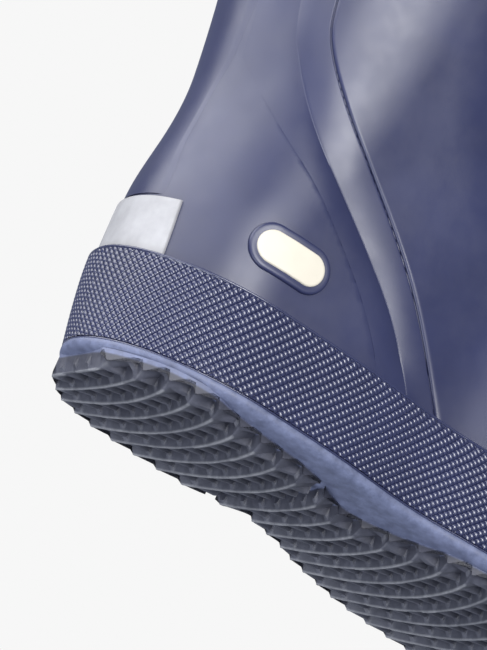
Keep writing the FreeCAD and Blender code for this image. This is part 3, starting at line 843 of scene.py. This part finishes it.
def knurl_sheet(length, height, low, high):
    """A flat strip of round-topped studs in slanting rows, trimmed to the strip's edges.

    Seven steps along a row and five steps from row to row come back to the same height, so the
    pattern closes round the boot.
    """
    along = np.array([KNURL_REPEAT / 14, KNURL_REPEAT / 14])
    between = np.array([1.5, -1.5])
    corner = [(-0.5, -0.5), (0.5, -0.5), (0.5, 0.5), (-0.5, 0.5)]
    points, faces = [], []
    reach = int(length + height)
    for i in range(-reach, reach):
        for j in range(-reach, reach):
            middle = i * along + j * between
            if not (-2 < middle[0] < length + 2 and low - 2 < middle[1] < high + 2):
                continue
            start = len(points)
            for length_share, width_share, lift in STUD_RINGS:
                for a, b in corner:
                    step = length_share * a * along + width_share * b * between
                    points.append((*(middle + step), lift))
            points.append((*middle, 1.0))
            for k in range(4):
                n = (k + 1) % 4
                faces.append((start + k, start + n, start + 4 + n, start + 4 + k))
                faces.append((start + 4 + k, start + 4 + n, start + 8 + n, start + 8 + k))
                faces.append((start + 8 + k, start + 8 + n, start + 12))
    bm = bmesh.new()
    made = [bm.verts.new(p) for p in points]
    for face in faces:
        bm.faces.new([made[k] for k in face])
    bmesh.ops.remove_doubles(bm, verts=bm.verts, dist=1e-4)
    cuts = [
        ((0, 0, 0), (-1, 0, 0)),
        ((length, 0, 0), (1, 0, 0)),
        ((0, low, 0), (0, -1, 0)),
        ((0, high, 0), (0, 1, 0)),
    ]
    for place, normal in cuts:
        geometry = bm.verts[:] + bm.edges[:] + bm.faces[:]
        bmesh.ops.bisect_plane(bm, geom=geometry, plane_co=place, plane_no=normal, clear_outer=True)
    bm.verts.index_update()
    flat = np.array([v.co[:] for v in bm.verts])
    kept = [[v.index for v in f.verts] for f in bm.faces]
    bm.free()
    return flat, kept


# ------------------------------------------------------------------ outsole

# A tooth's length along the sole: in all, of its steep rear face, of its flat tip; and its depth
TOOTH_PITCH, TOOTH_RUN, TOOTH_FLAT, TOOTH_DEPTH = 9.0, 1.5, 0.7, 4.4
HEEL_TREAD_START, HEEL_ROWS, FOREPART_ROWS = 4.0, 9, 22
# The gap between the heel's rows and the forepart's
SLIT = 2.5
# The fore-and-aft ribs that join the teeth: spacing, width and how far their tops are off the ground
RIB_PITCH, RIB_WIDTH, RIB_TOP = 7.2, 1.3, 0.35
# How far the tread's edge is set in from the foxing on each side, as (distance forward, inset)
OUTER_INSET = (
    (0, 1.5), (20, 1.2), (38, 2.5), (47, 5.5), (56, 7.6), (66, 9.4), (75, 10.5), (85, 13.5),
    (92, 18), (100, 21), (115, 17), (140, 6), (170, 4.5), (297, 4.5),
)
INNER_INSET = (
    (0, 1.5), (14, 3), (33, 2.4), (45, 1), (62, 0.4), (82, 0.8), (89, 3), (95, 7), (101, 4.5),
    (114, 3), (129, 1.2), (150, 1.2), (190, 4), (297, 4.5),
)


def tread_limits(x):
    """The outer and inner edges of the tread at a distance forward."""
    middle = FORM_LENGTH / 2
    reach = middle - back_at(FOXING_BOTTOM) + FOXING
    within = middle + (x - middle) * (reach - FOXING) / (reach - 1.0)
    base = half_width(within, FOXING_BOTTOM) + FOXING
    outer = np.maximum(base - smooth_through(OUTER_INSET, x), 0.05)
    inner = np.maximum(base - smooth_through(INNER_INSET, x), 0.05)
    return centre_line(x) - outer, centre_line(x) + inner


def tooth_height(x, start):
    """Height above the ground along a run of teeth: steep rear face, tip, long rise forward."""
    phase = np.mod(x - start, TOOTH_PITCH)
    rear = TOOTH_DEPTH * (1 - phase / TOOTH_RUN)
    rise = (phase - TOOTH_RUN - TOOTH_FLAT) / (TOOTH_PITCH - TOOTH_RUN - TOOTH_FLAT)
    return np.where(phase < TOOTH_RUN, rear, TOOTH_DEPTH * np.clip(rise, 0, 1))


def tread_rows(name, first, rows, seed):
    """One run of curved rows of teeth, joined by fore-and-aft ribs, its roof inside the plate."""
    tip_end = TOOTH_RUN + TOOTH_FLAT
    steps = [0, 0.4, 0.8, 1.15, 1.4, TOOTH_RUN, 1.85, tip_end, 3.0, 4.2, 5.4, 6.6, 7.8, 8.6, 8.98]
    xs = [first + row * TOOTH_PITCH + step for row in range(rows) for step in steps]
    xs = np.array(xs + [first + rows * TOOTH_PITCH])
    ribs = np.arange(-64.0, 75.0, RIB_PITCH)
    half = RIB_WIDTH / 2
    offsets = (-half - 0.45, -half, 0.0, half, half + 0.45, 1.7, 2.4, 3.1, 3.8, 4.5, 5.2, 5.9)
    across = np.unique(np.round([rib + step for rib in ribs for step in offsets], 3))
    low, high = tread_limits(xs)
    middle = centre_line(xs)
    y = np.clip(across[None, :], low[:, None], high[:, None])
    side = (y - middle[:, None]) / HEEL
    bend = np.where(side < 0, -5.5 * side**2, -8.5 * np.maximum(side, 0) ** 2)
    bend = bend * ease(xs, 0, 26)[:, None]
    tooth = tooth_height(xs, first)[:, None]
    from_rib = np.abs(np.mod(across - ribs[0] + RIB_PITCH / 2, RIB_PITCH) - RIB_PITCH / 2)
    rib_share = ease(from_rib, half + 0.5, half - 0.05)
    floor = np.minimum(tooth, RIB_TOP + 0.3 * tooth)
    z = tooth + (floor - tooth) * rib_share[None, :]
    rng = np.random.default_rng(seed)
    uneven = rng.normal(0, 0.12, (rows + 1, len(ribs)))
    row = np.clip(((xs - first) // TOOTH_PITCH).astype(int), 0, rows)
    block = np.clip(((across - ribs[0]) // RIB_PITCH).astype(int), 0, len(ribs) - 1)
    z = z + np.abs(uneven[row][:, block]) * (1 - z / TOOTH_DEPTH)
    outer_reach = y - low[:, None]
    inner_reach = high[:, None] - y
    z = z + 2.6 * (1 - ease(outer_reach, 0, 6)) ** 1.5
    shallow = 1 - 0.45 * (1 - ease(inner_reach, 0, 12))
    z = z * shallow
    z = np.minimum(z, PLATE_BOTTOM + 0.5)
    x = xs[:, None] + bend
    surface = np.stack([x, y, z], -1)
    roof = np.stack([x, y, np.full(z.shape, PLATE_BOTTOM + 1.2)], -1)
    made = sheet_solid(name, surface, roof, False)
    bm = bmesh.new()
    bm.from_mesh(made.data)
    bmesh.ops.remove_doubles(bm, verts=bm.verts, dist=2e-6)
    bmesh.ops.dissolve_degenerate(bm, edges=bm.edges, dist=1e-6)
    bm.to_mesh(made.data)
    bm.free()
    fix_normals(made)
    return made


def build_plate():
    """The outsole's plate: a rounded lip under the foxing, then a soft margin to the tread."""
    around = 480
    turns = around_form(around)
    flat_reach = -4.0
    section = [
        (1.0, 9.6), (2.3, 9.2), (2.75, 8.9), (2.95, 8.5), (3.0, 8.0), (2.95, 7.4), (2.6, 6.7),
        (1.9, 6.1), (0.8, 5.7), (-1.0, 5.4), (-4.0, 5.25), (-9.0, 5.2), (-16.0, 5.2),
    ]
    rings = []
    for offset, z in section:
        ring = form_offset(turns, FOXING_BOTTOM, max(offset, flat_reach))
        share = max(flat_reach - offset, 0.0) / 24.0
        ring[:, 1] += (centre_line(ring[:, 0]) - ring[:, 1]) * share
        ring[:, 0] += (FORM_LENGTH / 2 - ring[:, 0]) * share * 0.1
        ring[:, 2] = z
        rings.append(ring)
    faces = grid_faces(len(section), around, 0, True)
    last = (len(section) - 1) * around
    faces.append(tuple(range(last, last + around)))
    faces.append(tuple(range(around - 1, -1, -1)))
    plate = new_object("outsole_tread", np.array(rings).reshape(-1, 3), faces)
    fix_normals(plate)
    return plate


def build_outsole():
    """The plate, and the heel's and the forepart's teeth, as one piece."""
    plate = build_plate()
    forepart_start = HEEL_TREAD_START + HEEL_ROWS * TOOTH_PITCH + SLIT
    heel = tread_rows("heel_teeth", HEEL_TREAD_START, HEEL_ROWS, 3)
    forepart = tread_rows("forepart_teeth", forepart_start, FOREPART_ROWS, 5)
    merged = bmesh.new()
    for part in (plate, heel, forepart):
        merged.from_mesh(part.data)
    merged.to_mesh(plate.data)
    merged.free()
    for part in (heel, forepart):
        bpy.data.objects.remove(part)
    sharpen(plate, 38)
    return dress(plate, "tread_rubber", "outsole")


# ------------------------------------------------------------------ the boot

build_upper()
build_front_panel()
build_side_strip("outer_strip_rubber", "outer", "outer_side_strip")
build_side_strip("inner_strip_rubber", "inner", "inner_side_strip")
build_back_stay()
build_heel_tab()
build_toe_guard()
build_binding()
build_backing()
build_lining()
build_footbed()
build_badge()
build_foxing()
build_outsole()

HIDDEN_LAYERS = {
    "heel_counter": "stiffener",
    "toe_puff": "stiffener",
    "midsole_filler": "sole_foam",
    "insole_board": "fibre_board",
}
for node, slot in HIDDEN_LAYERS.items():
    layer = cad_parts[node]
    layer.data.materials.clear()
    layer.data.materials.append(MATERIALS[slot])


# ------------------------------------------------------------------ stage, light and camera


def build_floor():
    """A pale floor that is clear from below, where the camera is, and blocks no light."""
    made, tree, shader = material("pale_floor", (0.86, 0.86, 0.86), 0.9)
    clear = add_node(tree, "ShaderNodeBsdfTransparent")
    below = add_node(tree, "ShaderNodeNewGeometry").outputs["Backfacing"]
    seen = add_node(tree, "ShaderNodeLightPath").outputs["Is Camera Ray"]
    unseen = add_node(tree, "ShaderNodeMath", operation="SUBTRACT")
    unseen.inputs[0].default_value = 1.0
    tree.links.new(seen, unseen.inputs[1])
    either = add_node(tree, "ShaderNodeMath", operation="MAXIMUM")
    tree.links.new(below, either.inputs[0])
    tree.links.new(unseen.outputs["Value"], either.inputs[1])
    mixed = add_node(tree, "ShaderNodeMixShader")
    tree.links.new(either.outputs["Value"], mixed.inputs["Fac"])
    tree.links.new(shader.outputs["BSDF"], mixed.inputs[1])
    tree.links.new(clear.outputs["BSDF"], mixed.inputs[2])
    tree.links.new(mixed.outputs["Shader"], tree.nodes["Material Output"].inputs["Surface"])
    bpy.ops.mesh.primitive_plane_add(size=8, location=(0, 0, -0.0004))
    floor = bpy.context.object
    floor.name = "floor"
    floor.data.materials.append(made)


def build_world():
    world = bpy.data.worlds.new("studio")
    bpy.context.scene.world = world
    world.use_nodes = True
    tree = world.node_tree
    light = tree.nodes["Background"]
    light.inputs["Color"].default_value = (0.80, 0.86, 1.0, 1)
    light.inputs["Strength"].default_value = 0.35
    backdrop = add_node(tree, "ShaderNodeBackground")
    backdrop.inputs["Color"].default_value = (0.93, 0.93, 0.93, 1)
    backdrop.inputs["Strength"].default_value = 1.0
    seen = add_node(tree, "ShaderNodeLightPath").outputs["Is Camera Ray"]
    mixed = add_node(tree, "ShaderNodeMixShader")
    tree.links.new(seen, mixed.inputs["Fac"])
    tree.links.new(light.outputs["Background"], mixed.inputs[1])
    tree.links.new(backdrop.outputs["Background"], mixed.inputs[2])
    tree.links.new(mixed.outputs["Shader"], tree.nodes["World Output"].inputs["Surface"])


def direction(azimuth, elevation):
    """The unit vector from the boot toward a viewer there: azimuth 0 looks along +Y."""
    a, e = math.radians(azimuth), math.radians(elevation)
    return Vector((math.sin(a) * math.cos(e), -math.cos(a) * math.cos(e), math.sin(e)))


def soft_light(name, azimuth, elevation, distance, size, watts, target, colour=(1, 1, 1)):
    lamp = bpy.data.lights.new(name, "AREA")
    lamp.shape = "DISK"
    lamp.size = size
    lamp.energy = watts
    lamp.color = colour
    made = bpy.data.objects.new(name, lamp)
    bpy.context.scene.collection.objects.link(made)
    away = direction(azimuth, elevation)
    made.location = Vector(target) + away * distance
    made.rotation_euler = (-away).to_track_quat("-Z", "Y").to_euler()


AZIMUTH, ELEVATION, ROLL = -26.6, -19.0, 24.0
PIXELS_PER_MM, FRAME_TALL = 3.49, 650
DISTANCE = 1.6
# How far the view's centre lies right of and above the foxing's lower edge at the heel, in mm
CENTRE_RIGHT, CENTRE_UP = 49.4, 3.2


def build_camera():
    """A long lens below the sole's level, behind the heel on the outer side, and rolled."""
    away = direction(AZIMUTH, ELEVATION)
    a = math.radians(AZIMUTH)
    level_right = Vector((math.cos(a), math.sin(a), 0))
    level_up = away.cross(level_right)
    turn = math.radians(ROLL)
    right = level_right * math.cos(turn) + level_up * math.sin(turn)
    up = level_up * math.cos(turn) - level_right * math.sin(turn)
    seam = Vector(to_row([0.0, 0.0, FOXING_BOTTOM]))
    # The scale holds this far in front of the seam
    depth = 0.03
    aim = seam + (right * CENTRE_RIGHT + up * CENTRE_UP) * MM
    place = aim + away * (DISTANCE + depth)
    camera = bpy.data.objects.new("camera", bpy.data.cameras.new("camera"))
    bpy.context.scene.collection.objects.link(camera)
    turned = Matrix((right, up, away)).transposed().to_4x4()
    camera.matrix_world = Matrix.Translation(place) @ turned
    sensor = 36
    camera.data.sensor_width = sensor
    camera.data.lens = sensor * PIXELS_PER_MM * DISTANCE / MM / FRAME_TALL
    camera.data.clip_start = 0.05
    camera.data.clip_end = 30
    bpy.context.scene.camera = camera


build_floor()
build_world()
build_camera()
heel_side = to_row([60, -10, 60])
soft_light("left_of_heel", -97, 31, 1.6, 2.0, 47, heel_side)
soft_light("left_fill", -50, 20, 1.7, 1.0, 9, heel_side)
soft_light("behind_camera", -6, 3, 1.8, 1.2, 48, heel_side)
soft_light("under_sole", -70, -60, 1.8, 1.6, 36, heel_side, (0.9, 0.94, 1.0))

bpy.context.scene.view_settings.view_transform = "Standard"
